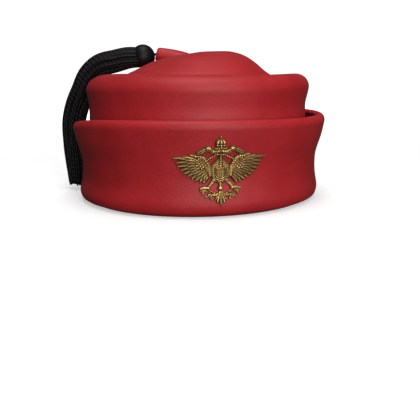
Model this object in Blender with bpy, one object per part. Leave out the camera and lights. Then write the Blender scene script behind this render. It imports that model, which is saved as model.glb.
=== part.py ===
# A soft felt fez: turned-up cuff, rolled crown, domed top with a stem, tassel, and a cast badge.
# The cap's axis is upright, its front faces -Y, and every length is in metres.

import math

import bmesh
import bpy
from mathutils import Vector

# Felt cap
HEAD_RADIUS = 0.0909  # inside of the head opening, for a head of 57 cm
FELT = 0.0027  # thickness of the felt
FREE_EDGE_BULGE = 0.0011  # how far the cuff's free edge rounds out
FOLD_ROOM = 0.0077  # free space between head wall and cuff, low down
WAIST_DEPTH = 0.0022  # how far the cuff draws in above its foot
RIM_FLARE = 0.0041  # how far the cuff's rim stands out past its foot
CUFF_HEIGHT = 0.0719
CROWN_RISE = 0.0326  # from the cuff's rim to the rolled edge of the crown
CROWN_WAIST_DEPTH = 0.0008
CORNER_SWELL = 0.0010  # how far the crown's corner stands out past the head wall
CORNER_WIDTH = 0.0118  # from the crown's corner in to the crest of its rolled edge
CORNER_DROP = 0.0090  # from that crest down to the corner
GUTTER_WIDTH = 0.0125  # from the crest in to the valley round the dome
GUTTER_DEPTH = 0.0045
DOME_RADIUS = 0.0606
DOME_RISE = 0.0187  # from the rolled edge to the top of the dome
COLUMNS = 40  # facets round the cap

# Stem, cord and tassel, which share one upright plane
TASSEL_HEADING = 170.3  # degrees from +X: the way they run out
TASSEL_OFFSET = 0.0280  # how far behind the cap's axis they run
STEM_REACH = 0.0370  # from the cap's axis out to the stem's end
STEM_LENGTH = 0.0260
STEM_RADIUS = 0.0060  # at the tip
STEM_TIP_LIFT = 0.0181  # of the tip's centre above the rolled edge
CORD_RADIUS = 0.0011
CORD_SEAT = 0.0045  # how deep the cord goes into the stem and into the tassel's head
CORD_SHOWN = 0.0015  # length of cord between the stem and the tassel's head
CORD_SIDES = 8
CLEARANCE = 0.0003
HEAD_BALL_RADIUS = 0.0108
HEAD_BALL_TILT = 10.0  # degrees: the head's axis slopes down, away from the stem
HEAD_BALL_END = 110.0  # degrees round the ball from the cord to the skirt
HEAD_BALL_RINGS = 6
SKIRT_RADIUS = 0.0112
SKIRT_NECK_RADIUS = 0.0094
LOCKS = 9
LOCK_DEPTH = 0.0018  # depth of the groove between two locks
LOCK_TWIST = 34.0  # degrees that the locks turn from the head to the end
FILLED_SHARE = 0.25  # share of its length in which the skirt reaches its full radius and lock depth
END_HOLLOW = 0.0028  # depth of the hollow in the skirt's lower end

# Badge
BADGE_RIM_GAP = 0.01105  # from the badge's top up to the cuff's rim
BADGE_FOOT_GAP = 0.01035  # from the surface the cap stands on up to the badge's lower end
BADGE_HEIGHT = CUFF_HEIGHT - BADGE_RIM_GAP - BADGE_FOOT_GAP
BADGE_CENTRE_HEIGHT = BADGE_FOOT_GAP + BADGE_HEIGHT / 2
BADGE_ASPECT = 1.3465  # width over height, which the casting keeps at any size
BADGE_WIDTH = BADGE_HEIGHT * BADGE_ASPECT
BADGE_RELIEF = 0.0030  # highest point of the casting above its back
STUD_DROP = 0.0015  # of the stud's axis below the badge's middle
STUD_RADIUS = 0.0014
STUD_SEAT = 0.0009  # how far the stud reaches into the casting
STUD_PROUD = 0.0003  # how far the stud reaches past the nut
NUT_RADIUS = 0.0045
NUT_THICKNESS = 0.0014
STUD_SIDES = 12
NUT_SIDES = 12

# Shares round the cap, each of the length that it varies.
RIM_SHARES = (
    # place, degrees from +X, share
    ("right", 350.0, 0.996),
    ("back right", 20.0, 1.006),
    ("back", 80.0, 0.979),
    ("under the tassel", 143.0, 0.875),
    ("left", 175.0, 0.897),
    ("front left", 215.0, 0.985),
    ("front", 265.0, 1.000),
    ("front right", 310.0, 0.979),
)
CREST_SHARES = (
    # place, degrees from +X, share
    ("right", 350.0, 0.995),
    ("back right", 40.0, 0.990),
    ("back", 95.0, 0.980),
    ("under the tassel", 148.0, 0.993),
    ("left", 180.0, 1.000),
    ("front left", 222.0, 1.001),
    ("front", 262.0, 0.987),
    ("front right", 308.0, 0.983),
)
FLARE_SHARES = (
    # place, degrees from +X, share
    ("right", 350.0, 1.35),
    ("back", 80.0, 1.00),
    ("left", 180.0, 0.85),
    ("front", 265.0, 1.00),
)
WAIST_SHARES = (
    # place, degrees from +X, share
    ("right", 350.0, 1.00),
    ("back", 80.0, 1.00),
    ("left", 168.0, 1.00),
    ("soft dent at the front left", 205.0, 2.20),
    ("front", 242.0, 1.00),
    ("front right", 290.0, 1.00),
)
SWELL_SHARES = (
    # place, degrees from +X, share
    ("right", 350.0, 1.90),
    ("back", 90.0, 1.00),
    ("left", 180.0, 0.90),
    ("front", 265.0, 1.00),
)
# The rolled edge is softer, so wider and lower at its corner, on the side of the tassel.
SOFTNESS_SHARES = (
    # place, degrees from +X, share
    ("right", 350.0, 0.92),
    ("back", 90.0, 1.15),
    ("left", 175.0, 1.50),
    ("front", 265.0, 1.05),
)

# The felt's middle line from the cuff's free edge, round the bottom fold and up the head wall to the corner.
WALL_SHARES = (
    # place, circle, inset from it in felts, level, share of that level, lift in felts
    ("lip edge", "rim", 1.70, "rim", 1.00, -1.35),
    ("lip crest", "rim", 0.90, "rim", 1.00, -0.50),
    ("lip side", "rim", 0.05, "rim", 1.00, -1.60),
    ("lip foot", "rim", 0.28, "rim", 0.90, -0.40),
    ("flare", "rim", 1.05, "rim", 0.75, 0.00),
    ("waist top", "waist", -0.22, "rim", 0.55, 0.00),
    ("waist", "waist", 0.00, "rim", 0.41, 0.00),
    ("waist foot", "waist", -0.24, "rim", 0.28, 0.00),
    ("bulge", "bulge", 0.00, "rim", 0.165, 0.00),
    ("fold shoulder", "bulge", 0.72, "rim", 0.088, 0.00),
    ("fold corner", "bulge", 1.85, "floor", 0.00, 1.00),
    ("sole outside", "bulge", 2.80, "floor", 0.00, 0.50),
    ("sole inside", "wall", -0.40, "floor", 0.00, 0.50),
    ("fold heel", "wall", 0.00, "rim", 0.05, 0.00),
    ("wall foot", "wall", 0.00, "rim", 0.15, 0.00),
    ("wall", "wall", 0.00, "rim", 0.52, 0.00),
    ("wall at the rim", "wall", 0.12, "rim", 0.92, 0.00),
    ("crown waist", "crown waist", 0.00, "corner", 1.00, -5.20),
    ("crown swell", "corner", 0.26, "corner", 1.00, -1.90),
    ("corner", "corner", 0.00, "corner", 1.00, 0.10),
)
ROLLED_EDGE_SHARES = (
    # place, share of the way in from corner to crest, share of the rise
    ("shoulder", 0.16, 0.52),
    ("upper shoulder", 0.50, 0.88),
    ("crest", 1.00, 1.00),
)
VALLEY_SHARES = (
    # place, share of the gutter's width, share of its depth
    ("crest's inner side", 0.42, 0.32),
    ("valley", 1.00, 1.00),
)
# The dome's height as a share of its rise, on its full side and on the side that the stem draws flat.
DOME_SHARES = (
    # share of the dome's radius, full side, drawn side
    (0.00, 0.975, 0.975),
    (0.20, 1.000, 0.850),
    (0.35, 1.000, 0.765),
    (0.50, 0.970, 0.675),
    (0.60, 0.895, 0.585),
    (0.70, 0.755, 0.460),
    (0.80, 0.540, 0.310),
    (0.90, 0.295, 0.155),
    (1.00, 0.000, 0.000),
)
DOME_RING_SHARES = (0.98, 0.88, 0.78, 0.68, 0.57, 0.45, 0.32)  # of its radius, from its foot in
ROOT_RING_SHARE = 0.30  # where these rings have moved over to the stem's root
INSIDE_RING_SHARES = (0.98, 0.83, 0.66, 0.47, 0.24)

# The stem, from the ring where it leaves the dome's felt to its tip.
STEM_SHARES = (
    # place, share of the stem's length, drop below the tip in tip radii, lean from upright in degrees,
    # half height in tip radii, half width in tip radii
    ("root", 0.10, 0.95, 66.0, 2.00, 1.75),
    ("neck", 0.28, 0.70, 42.0, 1.40, 1.36),
    ("throat", 0.52, 0.40, 22.0, 1.16, 1.18),
    ("shaft", 0.78, 0.16, 12.0, 1.05, 1.06),
    ("before the tip", 0.95, 0.03, 13.0, 1.00, 1.00),
    ("tip", 1.00, 0.00, 14.0, 0.84, 0.84),
)

# The tassel's middle line: two points of its head's axis, then past the felt's named circles and levels.
NECK_REACH = 1.30  # along that axis, in ball radii
THROAT_REACH = 2.25
THROAT_LIFT = 0.14  # above that axis, in skirt radii
ROUTE_STEPS = 2  # rings of the skirt in each span of the route
TASSEL_ROUTE = (
    # place, circle, out from it in skirt radii, level, share of that level, up from it in skirt radii
    ("over the crest", "crest", 0.20, "crest", 1.00, 1.31),
    ("over the corner", "corner", -0.12, "crest", 1.00, 0.97),
    ("past the corner", "corner", 0.84, "corner", 1.00, 1.08),
    ("beside the crown", "corner", 1.40, "corner", 1.00, -0.14),
    ("over the rim", "rim", 0.66, "rim", 1.00, 1.34),
    ("past the rim", "rim", 1.04, "rim", 1.00, -0.01),
    ("beside the cuff", "rim", 1.05, "rim", 0.66, 0.00),
    ("low down", "bulge", 1.28, "rim", 0.34, 0.00),
    ("end", "bulge", 1.23, "floor", 0.00, 0.48),
)

# The badge's right half, in hundredths of its half width across and of its half height up.
FEATHERS = (
    # root across, root up, tip across, tip up
    (45, 38, 66, 49),
    (48, 34, 80, 45),
    (50, 29, 100, 41),
    (51, 23, 93, 26),
    (50, 16, 90, 14),
    (48, 10, 84, 3),
    (45, 5, 78, -8),
    (41, 1, 70, -15),
    (37, -3, 61, -22),
    (32, -7, 53, -29),
    (28, -11, 44, -33),
    (25, -15, 36, -36),
)
FEATHER_WIDTHS = (9, 5)  # at root and tip, in hundredths of the half width
FEATHER_RELIEF_SHARE = 0.62
BAR_EDGE_SHARE = 0.55  # height of a bar's side as a share of its ridge's height
BOSS_EDGE_SHARE = 0.62
BOSS_TOP_SHARE = 0.55  # width of a boss's flat top as a share of its width
BOSS_SIDES = 6
# Bars taper from one end to the other, and are mirrored to the left half.
BARS = (
    # part, across, up, across, up, first and last width in hundredths of the half width, share of the relief
    ("neck", 2, 59, 21, 54, 7, 8, 0.75),
    ("nape", 19, 53, 28, 64, 8, 9, 0.85),
    ("beak", 27, 65, 49, 52, 10, 6, 0.75),
    ("ribbon by the neck", 0, 50, 12, 48, 4, 3, 0.55),
    ("ribbon's end", 11, 49, 32, 33, 4, 3, 0.50),
    ("leg", 14, -24, 27, -47, 6, 6, 0.65),
    ("toe outward", 25, -46, 46, -50, 7, 5, 0.75),
    ("middle toe", 40, -48, 39, -69, 7, 2, 0.65),
    ("inner toe", 31, -47, 28, -58, 5, 2, 0.60),
    ("rod", 26, -55, 13, -65, 3, 3, 0.45),
    ("tail's arm", 4, -64, 22, -72, 5, 8, 0.65),
    ("scroll's tip", 21, -71, 33, -75, 7, 2, 0.60),
    ("scroll's thorn", 22, -72, 20, -82, 6, 2, 0.55),
    ("tail feather", 3, -64, 12, -85, 5, 3, 0.60),
)
BOSSES = (
    # part, across, up, half width, half height in hundredths of the half width, share of the relief
    ("head", 28, 65, 7, 6, 0.95),
    ("scroll", 22, -72, 6, 5, 0.75),
    ("upper scale", 47, 33, 5, 6, 0.80),
    ("upper scale", 40, 36, 5, 6, 0.85),
    ("outer scale", 47, 21, 5, 6, 0.80),
    ("scale", 39, 22, 5, 6, 0.88),
    ("inner scale", 31, 26, 5, 6, 0.90),
    ("outer scale", 42, 9, 5, 6, 0.80),
    ("inner scale", 33, 10, 5, 6, 0.88),
    ("outer scale", 35, -3, 5, 6, 0.78),
    ("inner scale", 26, 2, 5, 6, 0.85),
    ("lowest scale", 27, -11, 4, 5, 0.75),
)
# These stand on the badge's middle line and aren't mirrored.
CENTRE_BOSSES = (
    ("finial", 0, 96, 3, 3, 0.70),
    ("crown", 0, 77, 12, 11, 0.90),
    ("tail's bulb", 0, -49, 6, 5, 0.80),
)
CENTRE_BARS = (
    ("finial's post", 0, 98, 0, 88, 3, 3, 0.60),
    ("crown's band", -11, 66, 11, 66, 5, 5, 0.80),
    ("breast", 1, 54, 1, 10, 6, 9, 1.00),
    ("crown's post", 0, 69, 0, 50, 6, 6, 0.70),
    ("tail's stem", 0, -32, 0, -66, 4, 4, 0.60),
    ("middle tail feather", 0, -62, 0, -99, 7, 3, 0.75),
)
CENTRE_PLATES = (
    # part, share of the relief at the edge, share in the middle, outline as (across, up)
    ("body", 0.55, 0.85, ((2, 50), (22, 16), (22, -8), (15, -25), (0, -37), (-15, -25), (-22, -8),
                          (-22, 16))),
    ("shield", 0.92, 1.00, ((12, 15), (12, -10), (7, -18), (0, -21), (-7, -18), (-12, -10), (-12, 15))),
)
WING_PLATES = (
    # the same columns, mirrored to the left half
    ("shoulder", 0.50, 0.72, ((27, 33), (38, 42), (51, 41), (54, 28), (50, 14), (40, 0), (28, -14), (22, -20),
                              (20, -2), (21, 16))),
)


def around(table, degrees):
    """The value of a table of (place, degrees, value) at a bearing, smoothly and all the way round."""
    rows = sorted((row[1] % 360.0, row[2]) for row in table)
    turns = [(a - 360.0, v) for a, v in rows] + rows + [(a + 360.0, v) for a, v in rows]
    here = degrees % 360.0
    k = max(i for i, (a, _) in enumerate(turns) if a <= here)
    (a0, v0), (a1, v1), (a2, v2), (a3, v3) = turns[k - 1 : k + 3]
    span = a2 - a1
    t = (here - a1) / span
    slope1 = (v2 - v0) / (a2 - a0) * span
    slope2 = (v3 - v1) / (a3 - a1) * span
    return (
        v1 * (2 * t**3 - 3 * t**2 + 1)
        + slope1 * (t**3 - 2 * t**2 + t)
        + v2 * (3 * t**2 - 2 * t**3)
        + slope2 * (t**3 - t**2)
    )


def crest_height(degrees):
    """Top of the crown's rolled edge at a bearing."""
    return (CUFF_HEIGHT + CROWN_RISE) * around(CREST_SHARES, degrees)


def circles_and_levels(degrees):
    """The named radii and heights of the felt's middle line at a bearing."""
    wall = HEAD_RADIUS + FELT / 2
    bulge = wall + FELT + FOLD_ROOM
    corner = wall + CORNER_SWELL * around(SWELL_SHARES, degrees)
    soft = around(SOFTNESS_SHARES, degrees)
    crest = crest_height(degrees) - FELT / 2
    circles = {
        "wall": wall,
        "bulge": bulge,
        "waist": bulge - WAIST_DEPTH * around(WAIST_SHARES, degrees),
        "rim": bulge + RIM_FLARE * around(FLARE_SHARES, degrees),
        "corner": corner,
        "crown waist": wall - CROWN_WAIST_DEPTH,
        "crest": corner - CORNER_WIDTH * soft,
    }
    levels = {
        "floor": 0.0,
        "rim": CUFF_HEIGHT * around(RIM_SHARES, degrees),
        "crest": crest,
        "corner": crest - CORNER_DROP * math.sqrt(soft),
    }
    return circles, levels


def dome_height(x, y):
    """Top of the dome at a place, as seen from above."""
    share = min(1.0, math.hypot(x, y) / DOME_RADIUS)
    from_tassel = math.atan2(y, x) - math.radians(TASSEL_HEADING)
    drawn = 0.5 + 0.5 * math.cos(from_tassel)
    k = max(i for i, row in enumerate(DOME_SHARES[:-1]) if row[0] <= share)
    (s0, full0, drawn0), (s1, full1, drawn1) = DOME_SHARES[k : k + 2]
    t = (share - s0) / (s1 - s0)
    full_side = full0 + (full1 - full0) * t
    drawn_side = drawn0 + (drawn1 - drawn0) * t
    return CUFF_HEIGHT + CROWN_RISE + DOME_RISE * (full_side + (drawn_side - full_side) * drawn)


def place(degrees, radius, height):
    """A point from its bearing round the cap's axis, its radius and its height."""
    bearing = math.radians(degrees)
    return Vector((radius * math.cos(bearing), radius * math.sin(bearing), height))


def wall_section(degrees):
    """The felt's middle line at a bearing as (radius, height), from the cuff's free edge to the valley."""
    circles, levels = circles_and_levels(degrees)
    line = [
        (circles[circle] - inset * FELT, levels[level] * share + lift * FELT)
        for _, circle, inset, level, share, lift in WALL_SHARES
    ]
    corner_radius, corner_level = line[-1]
    rise = levels["crest"] - corner_level
    run = corner_radius - circles["crest"]
    line += [(corner_radius - run * inward, corner_level + rise * up) for _, inward, up in ROLLED_EDGE_SHARES]
    crest_radius, crest_level = line[-1]
    for _, inward, down in VALLEY_SHARES:
        line.append((crest_radius - GUTTER_WIDTH * inward, crest_level - GUTTER_DEPTH * down))
    return line


def dome_section(degrees):
    """The dome's middle line at a bearing, from its foot in."""
    line = []
    for share in INSIDE_RING_SHARES:
        at = place(degrees, DOME_RADIUS * share, 0.0)
        line.append((DOME_RADIUS * share, dome_height(at.x, at.y) - FELT / 2))
    return line


def face_line(degrees, side):
    """One face of the felt at a bearing: side 1 is the wearer's, side -1 the one seen from above."""
    line = wall_section(degrees) + dome_section(degrees)
    moved = []
    for k, (radius, height) in enumerate(line):
        before = line[max(0, k - 1)]
        after = line[k + 1] if k + 1 < len(line) else (0.0, dome_height(0.0, 0.0) - FELT / 2)
        along = Vector((after[0] - before[0], after[1] - before[1])).normalized()
        lift = side * FELT / 2
        if height <= FELT / 2:
            moved.append((radius, height - lift))
        else:
            moved.append((radius - along.y * lift, height + along.x * lift))
    return moved


def free_edge(degrees):
    """The rounded middle of the cuff's free edge."""
    first, second = (Vector(point) for point in wall_section(degrees)[:2])
    return tuple(first + (first - second).normalized() * FREE_EDGE_BULGE)


def tassel_point(out, height):
    """A point of the upright plane in which the stem and the tassel run."""
    heading = math.radians(TASSEL_HEADING)
    return Vector((
        out * math.cos(heading) + TASSEL_OFFSET * math.sin(heading),
        out * math.sin(heading) - TASSEL_OFFSET * math.cos(heading),
        height,
    ))


def ring_across(centre, way, half_height, half_width, count, wave=None):
    """A ring across a direction (out, up) of the tassel's plane, given by its centre in that plane."""
    way = way.normalized()
    heading = tassel_point(1.0, 0.0) - tassel_point(0.0, 0.0)
    below = heading * way.y - Vector((0, 0, way.x))
    sideways = Vector((0, 0, 1)).cross(heading)
    points = []
    for k in range(count):
        turn = 2 * math.pi * k / count
        reach = wave(turn) if wave else 1.0
        points.append(
            tassel_point(*centre)
            + below * (reach * half_height * math.cos(turn))
            + sideways * (reach * half_width * math.sin(turn))
        )
    return points


def stem_line():
    """The stem's rings as (out, height, direction in the tassel's plane, half height, half width)."""
    tip_height = CUFF_HEIGHT + CROWN_RISE + STEM_TIP_LIFT
    rows = []
    for _, share, drop, lean, tall, wide in STEM_SHARES:
        angle = math.radians(lean)
        rows.append((
            STEM_REACH - STEM_LENGTH * (1 - share),
            tip_height - drop * STEM_RADIUS,
            Vector((math.cos(angle), math.sin(angle))),
            tall * STEM_RADIUS,
            wide * STEM_RADIUS,
        ))
    return rows


def stem_tip():
    """The middle of the stem's end and the direction in which it points, in the tassel's plane."""
    out, height, way, _, _ = stem_line()[-1]
    return Vector((out, height)), way


def stem_rings():
    """The dome's felt from its foot to the stem's root, the stem, and the cord's blind hole in its tip."""
    root = tassel_point(stem_line()[0][0], 0.0)
    rings = []
    first = DOME_RING_SHARES[0]
    for share in DOME_RING_SHARES:
        shift = (first - share) / (first - ROOT_RING_SHARE)
        centre = Vector((root.x * shift, root.y * shift, 0.0))
        ring = []
        for k in range(COLUMNS):
            point = centre + place(TASSEL_HEADING + 360.0 * k / COLUMNS, DOME_RADIUS * share, 0.0)
            point.z = dome_height(point.x, point.y)
            ring.append(point)
        rings.append(ring)
    for out, height, way, tall, wide in stem_line():
        ring = ring_across((out, height), way, tall, wide, COLUMNS)
        for point in ring:
            point.z = max(point.z, dome_height(point.x, point.y))
        rings.append(ring)
    tip, way = stem_tip()
    hole = CORD_RADIUS + CLEARANCE
    for depth in (0.0, CORD_SEAT):
        rings.append(ring_across(tip - way * depth, way, hole, hole, COLUMNS))
    return rings, tassel_point(*(tip - way * CORD_SEAT))


def ring_surface(builder, rings, first_pole, last_pole):
    """Skins a list of rings of points and closes both ends with a pole."""
    rows = [[builder.verts.new(point) for point in ring] for ring in rings]
    for lower, upper in zip(rows, rows[1:]):
        count = len(lower)
        for k in range(count):
            after = (k + 1) % count
            builder.faces.new((lower[k], lower[after], upper[after], upper[k]))
    for row, pole in ((rows[0], first_pole), (rows[-1], last_pole)):
        tip = builder.verts.new(pole)
        for k in range(len(row)):
            builder.faces.new((row[k], row[(k + 1) % len(row)], tip))


def finished(name, builder, colour, roughness, metallic=0.0):
    """A named object from a bmesh, with its own material."""
    bmesh.ops.recalc_face_normals(builder, faces=builder.faces)
    mesh = bpy.data.meshes.new(name)
    builder.to_mesh(mesh)
    builder.free()
    made = bpy.data.objects.new(name, mesh)
    bpy.context.scene.collection.objects.link(made)
    material = bpy.data.materials.new(name)
    material.use_nodes = True
    shader = material.node_tree.nodes["Principled BSDF"]
    shader.inputs["Base Color"].default_value = (*colour, 1.0)
    shader.inputs["Roughness"].default_value = roughness
    shader.inputs["Metallic"].default_value = metallic
    mesh.materials.append(material)
    mesh.shade_smooth()
    mesh.set_sharp_from_angle(angle=math.radians(40))
    return made


def boolean(made, cutter, operation):
    """Joins or cuts an object with another, which is hidden."""
    modifier = made.modifiers.new(operation.lower(), "BOOLEAN")
    modifier.operation = operation
    modifier.object = cutter
    cutter.hide_render = True
    cutter.display_type = "WIRE"


def front_rod(name, radius, near, far, height, sides):
    """A round rod along Y in front of the cap's axis, as a helper object."""
    builder = bmesh.new()
    rings = [
        [Vector((radius * math.sin(turn), -reach, height + radius * math.cos(turn)))
         for turn in (2 * math.pi * (k + 0.5) / sides for k in range(sides))]
        for reach in (near, far)
    ]
    ring_surface(builder, rings, Vector((0, -near, height)), Vector((0, -far, height)))
    return finished(name, builder, (0.5, 0.5, 0.5), 0.5)


def build_cap():
    """The felt: one sheet, folded at the bottom, drawn out into the stem at the top, with the stud's hole."""
    bearings = [TASSEL_HEADING + 360.0 * k / COLUMNS for k in range(COLUMNS)]
    wearer = [face_line(b, 1) for b in bearings]
    upper = [face_line(b, -1) for b in bearings]
    dome, hole_end = stem_rings()
    rings = list(reversed(dome))
    for row in reversed(range(len(WALL_SHARES) + len(ROLLED_EDGE_SHARES) + len(VALLEY_SHARES))):
        rings.append([place(b, *line[row]) for b, line in zip(bearings, upper)])
    rings.append([place(b, *free_edge(b)) for b in bearings])
    for row in range(len(wearer[0])):
        rings.append([place(b, *line[row]) for b, line in zip(bearings, wearer)])
    builder = bmesh.new()
    ring_surface(builder, rings, hole_end, Vector((0, 0, dome_height(0.0, 0.0) - FELT)))
    cap = finished("felt_cap", builder, (0.42, 0.022, 0.030), 0.9)
    inner, outer = cuff_faces(stud_height())
    hole = front_rod("stud_hole", STUD_RADIUS + CLEARANCE, inner - FELT, outer + FELT,
                     stud_height(), STUD_SIDES)
    boolean(cap, hole, "DIFFERENCE")
    return cap


def cuff_faces(height, degrees=270.0):
    """Radii of the cuff's two faces at a height."""
    radii = []
    for side in (-1, 1):
        line = face_line(degrees, side)
        for (r0, z0), (r1, z1) in zip(line[2:], line[3:]):
            if z1 <= height <= z0:
                radii.append(r0 + (r1 - r0) * (height - z0) / (z1 - z0))
                break
    return radii


def cuff_bends():
    """Heights at which the cuff's outer face bends at the front, from under its lip down to the fold."""
    names = [row[0] for row in WALL_SHARES]
    rows = face_line(270.0, 1)[names.index("lip foot") : names.index("sole outside")]
    return [height for _, height in rows]


def stud_height():
    return BADGE_CENTRE_HEIGHT - STUD_DROP


def head_pole():
    """Where the cord enters the tassel's head, and the head's direction away from the stem, in the plane."""
    tip, _ = stem_tip()
    tilt = math.radians(HEAD_BALL_TILT)
    way = Vector((math.cos(tilt), -math.sin(tilt)))
    return tip + way * CORD_SHOWN, way


def build_cord():
    """The short cord, seated in the stem's tip and in the head of the tassel."""
    tip, stem_way = stem_tip()
    pole, ball_way = head_pole()
    reach = CORD_SEAT - CLEARANCE
    inside = CORD_SHOWN / 2
    line = [
        tip - stem_way * reach,
        tip - stem_way * inside,
        pole + ball_way * inside,
        pole + ball_way * reach,
    ]
    rings = []
    for k, at in enumerate(line):
        way = line[min(k + 1, 3)] - line[max(k - 1, 0)]
        rings.append(ring_across(at, way, CORD_RADIUS, CORD_RADIUS, CORD_SIDES))
    builder = bmesh.new()
    ring_surface(builder, rings, tassel_point(*line[0]), tassel_point(*line[-1]))
    return finished("tassel_cord", builder, (0.012, 0.012, 0.013), 0.8)


def reach_of(radius):
    """How far out a circle round the cap's axis meets the tassel's plane."""
    return math.sqrt(radius**2 - TASSEL_OFFSET**2)


def tassel_route():
    """The skirt's middle line in the plane: over the crown's edge, past the cuff's rim and down."""
    pole, way = head_pole()
    bearing = TASSEL_HEADING - math.degrees(math.asin(TASSEL_OFFSET / HEAD_RADIUS))
    circles, levels = circles_and_levels(bearing)
    neck = pole + way * HEAD_BALL_RADIUS * NECK_REACH
    throat = pole + way * HEAD_BALL_RADIUS * THROAT_REACH + Vector((0.0, THROAT_LIFT * SKIRT_RADIUS))
    route = [tuple(neck), tuple(throat)]
    for _, circle, out, level, share, up in TASSEL_ROUTE:
        felt_out = reach_of(circles[circle] + FELT / 2)
        route.append((felt_out + out * SKIRT_RADIUS, levels[level] * share + up * SKIRT_RADIUS))
    return route


def smooth_line(points, steps):
    """A Catmull-Rom curve through points of the plane, with a number of steps in each span."""
    ends = [points[0]] + list(points) + [points[-1]]
    line = []
    for k in range(1, len(ends) - 2):
        p0, p1, p2, p3 = (Vector(p) for p in ends[k - 1 : k + 3])
        for step in range(steps):
            t = step / steps
            line.append(0.5 * (2 * p1 + (p2 - p0) * t + (2 * p0 - 5 * p1 + 4 * p2 - p3) * t**2
                               + (3 * p1 - p0 - 3 * p2 + p3) * t**3))
    line.append(Vector(points[-1]))
    return line


def build_tassel():
    """Head and skirt as one solid: a blind hole for the cord, the ball, and a skirt of locks."""
    pole, way = head_pole()
    sides = LOCKS * 4
    hole = CORD_RADIUS + CLEARANCE
    seat = pole + way * CORD_SEAT
    rings = [ring_across(seat, way, hole, hole, sides)]
    centre = pole + way * HEAD_BALL_RADIUS
    first = math.asin(hole / HEAD_BALL_RADIUS)
    last = math.radians(HEAD_BALL_END)
    for k in range(HEAD_BALL_RINGS):
        turn = first + (last - first) * k / (HEAD_BALL_RINGS - 1)
        at = centre - way * (HEAD_BALL_RADIUS * math.cos(turn))
        radius = HEAD_BALL_RADIUS * math.sin(turn)
        rings.append(ring_across(at, way, radius, radius, sides))
    line = smooth_line(tassel_route(), ROUTE_STEPS)
    for k, at in enumerate(line):
        share = k / (len(line) - 1)
        along = line[min(k + 1, len(line) - 1)] - line[max(0, k - 1)]
        full = min(1.0, share / FILLED_SHARE)
        radius = SKIRT_NECK_RADIUS + (SKIRT_RADIUS - SKIRT_NECK_RADIUS) * full
        depth = LOCK_DEPTH / radius * full

        def lock(turn, depth=depth, twist=math.radians(LOCK_TWIST) * share):
            return 1.0 - depth * (0.5 + 0.5 * math.cos(LOCKS * (turn + twist)))

        rings.append(ring_across(at, along, radius, radius, sides, lock))
    hollow = line[-1] + Vector((0.0, END_HOLLOW))
    builder = bmesh.new()
    ring_surface(builder, rings, tassel_point(*seat), tassel_point(*hollow))
    return finished("tassel", builder, (0.012, 0.012, 0.013), 0.75)


def badge_spot(across, up):
    """A place on the flat badge from hundredths of its half width and half height."""
    return Vector((across * BADGE_WIDTH / 200, up * BADGE_HEIGHT / 200))


def add_prism(builder, outline, edge_height, middle, middle_height):
    """A closed plate on the badge's back: upright sides, and a top that rises to a middle point or ridge."""
    foot = [builder.verts.new((p.x, p.y, 0.0)) for p in outline]
    brow = [builder.verts.new((p.x, p.y, edge_height)) for p in outline]
    crests = [builder.verts.new((p.x, p.y, middle_height)) for p in middle]
    count = len(outline)
    builder.faces.new(list(reversed(foot)))
    for k in range(count):
        after = (k + 1) % count
        builder.faces.new((foot[k], foot[after], brow[after], brow[k]))
    if len(crests) == 1:
        for k in range(count):
            builder.faces.new((brow[k], brow[(k + 1) % count], crests[0]))
    else:
        start, end = crests
        builder.faces.new((brow[0], brow[1], end, start))
        builder.faces.new((brow[1], brow[2], end))
        builder.faces.new((brow[2], brow[3], start, end))
        builder.faces.new((brow[3], brow[0], start))


def add_bar(builder, start, end, start_width, end_width, height):
    """A tapering bar with a ridge along its middle."""
    along = (end - start).normalized()
    side = Vector((along.y, -along.x))
    outline = [start + side * start_width / 2, end + side * end_width / 2,
               end - side * end_width / 2, start - side * start_width / 2]
    ridge = [start + along * start_width / 3, end - along * end_width / 2]
    add_prism(builder, outline, height * BAR_EDGE_SHARE, ridge, height)


def add_boss(builder, centre, half_width, half_height, height):
    """A low round boss."""
    outline = []
    for k in range(BOSS_SIDES):
        turn = 2 * math.pi * (k + 0.5) / BOSS_SIDES
        outline.append(centre + Vector((half_width * math.cos(turn), half_height * math.sin(turn))))
    foot = [builder.verts.new((p.x, p.y, 0.0)) for p in outline]
    brow = [builder.verts.new((p.x, p.y, height * BOSS_EDGE_SHARE)) for p in outline]
    cap = [centre + (p - centre) * BOSS_TOP_SHARE for p in outline]
    crown = [builder.verts.new((p.x, p.y, height)) for p in cap]
    builder.faces.new(list(reversed(foot)))
    builder.faces.new(crown)
    for lower, upper in ((foot, brow), (brow, crown)):
        for k in range(BOSS_SIDES):
            after = (k + 1) % BOSS_SIDES
            builder.faces.new((lower[k], lower[after], upper[after], upper[k]))


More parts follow.
